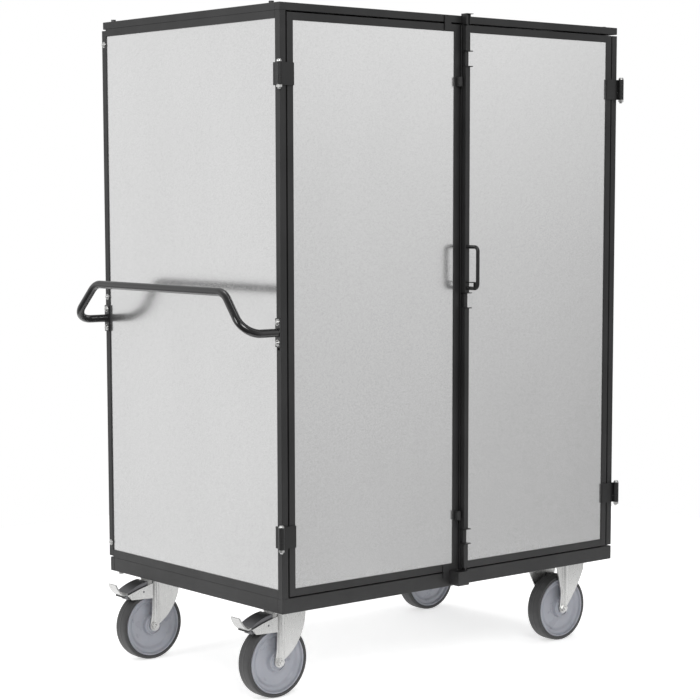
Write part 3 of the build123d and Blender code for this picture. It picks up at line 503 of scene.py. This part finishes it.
# ---- Push handle welds and washers ---------------------------------------------------------------
def build_handle_welds():
    """Rippled weld bead where each end of the bent tube meets its flange."""
    tube_radius = 11 * MM
    bead_radius, bead_size, bead_lift, bead_flatness = 11.3, 1.7, 0.6, 0.55
    ripple, ripples = 0.22, 24
    turns, sides = 72, 8
    low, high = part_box("push_handle")
    bolt_low, bolt_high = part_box("push_handle_bolts")
    level = (bolt_low.z + bolt_high.z) / 2
    bm = bmesh.new()
    for y in (low.y + tube_radius, high.y - tube_radius):
        centre = Vector((CORNER.x - FLANGE, y, level))
        rings = []
        for i in range(turns):
            angle = 2 * math.pi * i / turns
            swell = bead_size + ripple * math.sin(angle * ripples)
            ring = []
            for k in range(sides):
                bend = 2 * math.pi * k / sides
                radius = bead_radius + swell * math.cos(bend)
                out = -bead_lift - swell * (1 + math.sin(bend)) * bead_flatness
                spot = centre + Vector((out, radius * math.cos(angle), radius * math.sin(angle))) * MM
                spot.y = min(spot.y, cad_high.y)
                ring.append(bm.verts.new(spot))
            rings.append(ring)
        for i in range(turns):
            here, there = rings[i], rings[(i + 1) % turns]
            for k in range(sides):
                j = (k + 1) % sides
                bm.faces.new((here[k], here[j], there[j], there[k]))
    finish_mesh("push_handle_welds", bm, "gloss_black", "cabinet")


def islands(node):
    """Boxes of a node's separate solids, as low and high corners."""
    bm = bmesh.new()
    bm.from_mesh(NODES[node].data)
    bmesh.ops.remove_doubles(bm, verts=bm.verts, dist=1e-6)
    seen = set()
    found = []
    for vert in bm.verts:
        if vert.index in seen:
            continue
        stack, group = [vert], []
        seen.add(vert.index)
        while stack:
            v = stack.pop()
            group.append(v.co.copy())
            for edge in v.link_edges:
                other = edge.other_vert(v)
                if other.index not in seen:
                    seen.add(other.index)
                    stack.append(other)
        low = Vector([min(p[i] for p in group) for i in range(3)])
        high = Vector([max(p[i] for p in group) for i in range(3)])
        found.append((low, high))
    bm.free()
    return found


def build_handle_washers():
    """Thin washers under the bolt heads on the push handle's flanges."""
    ring = [(6.0, -0.02), (8.4, -0.02), (8.7, -0.5), (8.4, -1.1), (6.0, -1.1)]
    bm = bmesh.new()
    for low, high in islands("push_handle_bolts"):
        centre = Vector((CORNER.x - FLANGE, (low.y + high.y) / 2, (low.z + high.z) / 2))
        lathe(bm, ring, centre, "x", 40)
    finish_mesh("push_handle_washers", bm, "zinc", "cabinet")


def build_clip_washers():
    """Thin washers under the domed bolts of the rear corners."""
    ring = [(6.0, 0.02), (8.2, 0.02), (8.5, 0.5), (8.2, 1.0), (6.0, 1.0)]
    wall_low, wall_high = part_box("rear_wall_frame")
    bm = bmesh.new()
    for low, high in islands("rear_clip_bolts"):
        face, side = (wall_low.x, -1) if low.x < 0 else (wall_high.x, 1)
        centre = Vector((face, (low.y + high.y) / 2, (low.z + high.z) / 2))
        lathe(bm, on_side(ring, side), centre, "x", 40)
    finish_mesh("rear_clip_washers", bm, "zinc", "cabinet")


build_handle_welds()
build_handle_washers()
build_clip_washers()


# ---- Frame joints --------------------------------------------------------------------------------
def build_seam(bm, start, end, across, width, height):
    """Low rounded weld seam between two points, rippled along its length and thinner at its ends."""
    step = 1.6 * MM
    ripple, ripple_turn = 0.12, 1.9
    taper, tip = 6, 0.15
    sides = 6
    run = end - start
    steps = max(2, int(run.length / step))
    up = run.normalized().cross(across).normalized()
    rows = []
    for i in range(steps + 1):
        share = i / steps
        point = start + run * share
        swell = 1 + ripple * math.sin(i * ripple_turn)
        ends = min(1.0, taper * share + tip, taper * (1 - share) + tip)
        row = []
        for k in range(sides + 1):
            angle = math.pi * k / sides
            out = across * math.cos(angle) * width / 2 * swell * ends
            row.append(bm.verts.new(point + out + up * math.sin(angle) * height * swell * ends))
        rows.append(row)
    for a, b in zip(rows, rows[1:]):
        for k in range(sides):
            bm.faces.new((a[k], a[k + 1], b[k + 1], b[k]))
        bm.faces.new((a[sides], a[0], b[0], b[sides]))
    bm.faces.new(rows[0])
    bm.faces.new(list(reversed(rows[-1])))


def build_door_seams(node, body):
    """Ground weld seams where the rails butt against the stiles, on the door's outer face."""
    proud = 0.05 * MM
    end_gap = 1.8 * MM
    width, height = 1.5 * MM, 0.25 * MM
    low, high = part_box(node)
    bm = bmesh.new()
    for x in (low.x + TUBE, high.x - TUBE):
        for z0, z1 in ((low.z, low.z + TUBE), (high.z - TUBE, high.z)):
            start = Vector((x, low.y - proud, z1 - end_gap))
            end = Vector((x, low.y - proud, z0 + end_gap))
            build_seam(bm, start, end, Vector((1, 0, 0)), width, height)
    finish_mesh(f"{body}_seams", bm, "powder_coat", body)


build_door_seams("left_door_frame", "left_door")
build_door_seams("right_door_frame", "right_door")


# ---- Floor, light and camera ---------------------------------------------------------------------
def build_floor():
    """Pale floor, kept short in front and on the left, where the panels would mirror it too brightly."""
    mesh = bpy.data.meshes.new("floor")
    left, front, far = -1.15, -1.0, 2.6
    z = cad_low.z
    mesh.from_pydata([(left, front, z), (far, front, z), (far, far, z), (left, far, z)], [], [(0, 1, 2, 3)])
    floor = bpy.data.objects.new("floor", mesh)
    bpy.context.scene.collection.objects.link(floor)
    g = Graph("pale_floor", (0.90, 0.90, 0.90), 0.75, Emission_Color=(1, 1, 1, 1), Emission_Strength=0.55)
    mesh.materials.append(g.material)


# Brightness of the studio round the horizon, by the angle in degrees from -Y towards +X.
STUDIO_ROUND = (
    (-180, 0.80), (-145, 1.00), (-110, 0.42), (-60, 0.24), (0, 0.40), (25, 0.72), (36, 0.96),
    (42, 1.34), (46, 1.46), (51, 1.20), (62, 0.26), (110, 0.40), (180, 0.85),
)
# Brightness by height, from straight down (-1) to straight up (1).
STUDIO_UP = ((-0.35, 0.60), (-0.14, 1.0), (0.0, 1.0), (0.08, 1.04), (0.35, 0.80), (0.7, 0.75), (1.0, 1.5))
# Dark card low on the right: its direction, and the brightness from 26 degrees off to straight at it.
CARD = Vector((0.80, -0.56, -0.22)).normalized()
CARD_LEVELS = ((0.90, 1.0), (0.96, 0.62), (1.0, 0.30))


# Each light's place, the point that it faces, its width and height in metres, and its power in watts.
LIGHTS = {
    "key": ((-3.0, -4.8, 4.2), (0, 0, 0.8), (2.2, 2.2), 150.0),
    "side": ((-5.2, 0.2, 2.6), (0, 0, 0.9), (1.4, 2.6), 70.0),
    "top": ((0.4, 0.2, 5.2), (0, 0, 1.0), (2.6, 2.0), 70.0),
}
# The camera's place from the base frame's corner, in millimetres, its tilt and turn in degrees, and its lens.
CAMERA_PLACE = (-3122.9, -4064.8, 1093.8)
CAMERA_DOWN, CAMERA_RIGHT = 6.12, 40.49
CAMERA_LENS, CAMERA_SENSOR = 102.33, 36.0
CAMERA_SHIFT = (-0.0481, 0.0826)


def build_world():
    """White to the camera; to the object, a studio with bright walls and darker corners."""
    world = bpy.data.worlds.new("studio")
    bpy.context.scene.world = world
    world.use_nodes = True
    g = Nodes(world.node_tree)
    direction = g.add("ShaderNodeTexCoord").outputs["Generated"]
    split = g.add("ShaderNodeSeparateXYZ")
    g.link(direction, split.inputs["Vector"])

    def levels(source, low, high, table):
        """Brightness from a table of places and levels, for a source that runs from low to high."""
        share = g.add("ShaderNodeMapRange")
        share.inputs["From Min"].default_value = low
        share.inputs["From Max"].default_value = high
        g.link(source, share.inputs["Value"])
        first, last = table[0][0], table[-1][0]
        stops = [((place - first) / (last - first), level) for place, level in table]
        return g.ramp(share.outputs["Result"], *stops)

    flip = g.add("ShaderNodeMath", operation="MULTIPLY")
    flip.inputs[1].default_value = -1.0
    g.link(split.outputs["Y"], flip.inputs[0])
    angle = g.add("ShaderNodeMath", operation="ARCTAN2")
    g.link(split.outputs["X"], angle.inputs[0])
    g.link(flip.outputs[0], angle.inputs[1])
    around = levels(angle.outputs[0], -math.pi, math.pi, STUDIO_ROUND)
    height = levels(split.outputs["Z"], STUDIO_UP[0][0], STUDIO_UP[-1][0], STUDIO_UP)
    towards = g.add("ShaderNodeVectorMath", operation="DOT_PRODUCT")
    towards.inputs[1].default_value = CARD
    g.link(direction, towards.inputs[0])
    card = levels(towards.outputs["Value"], CARD_LEVELS[0][0], CARD_LEVELS[-1][0], CARD_LEVELS)
    studio = g.mix("MULTIPLY", 1.0, g.mix("MULTIPLY", 1.0, around, height), card)
    camera_ray = g.add("ShaderNodeLightPath").outputs["Is Camera Ray"]
    g.link(g.mix("MIX", camera_ray, studio, (1.0, 1.0, 1.0)), g.tree.nodes["Background"].inputs["Color"])


def build_light(name, place, target, size, power):
    """Rectangular area light that faces a point."""
    data = bpy.data.lights.new(name, "AREA")
    data.shape = "RECTANGLE"
    data.size, data.size_y = size
    data.energy = power
    light = bpy.data.objects.new(name, data)
    light.location = place
    light.rotation_euler = (Vector(target) - Vector(place)).to_track_quat("-Z", "Y").to_euler()
    bpy.context.scene.collection.objects.link(light)


def build_camera():
    """The camera, looking at the cart's front left corner from a little above its middle."""
    data = bpy.data.cameras.new("camera")
    data.lens = CAMERA_LENS
    data.sensor_width = CAMERA_SENSOR
    data.shift_x, data.shift_y = CAMERA_SHIFT
    camera = bpy.data.objects.new("camera", data)
    camera.location = cabinet(*CAMERA_PLACE)
    camera.rotation_euler = (math.radians(90 - CAMERA_DOWN), 0.0, math.radians(-CAMERA_RIGHT))
    bpy.context.scene.collection.objects.link(camera)
    bpy.context.scene.camera = camera


build_floor()
build_world()
for light_name, settings in LIGHTS.items():
    build_light(light_name, *settings)
build_camera()
bpy.context.scene.view_settings.view_transform = "Standard"
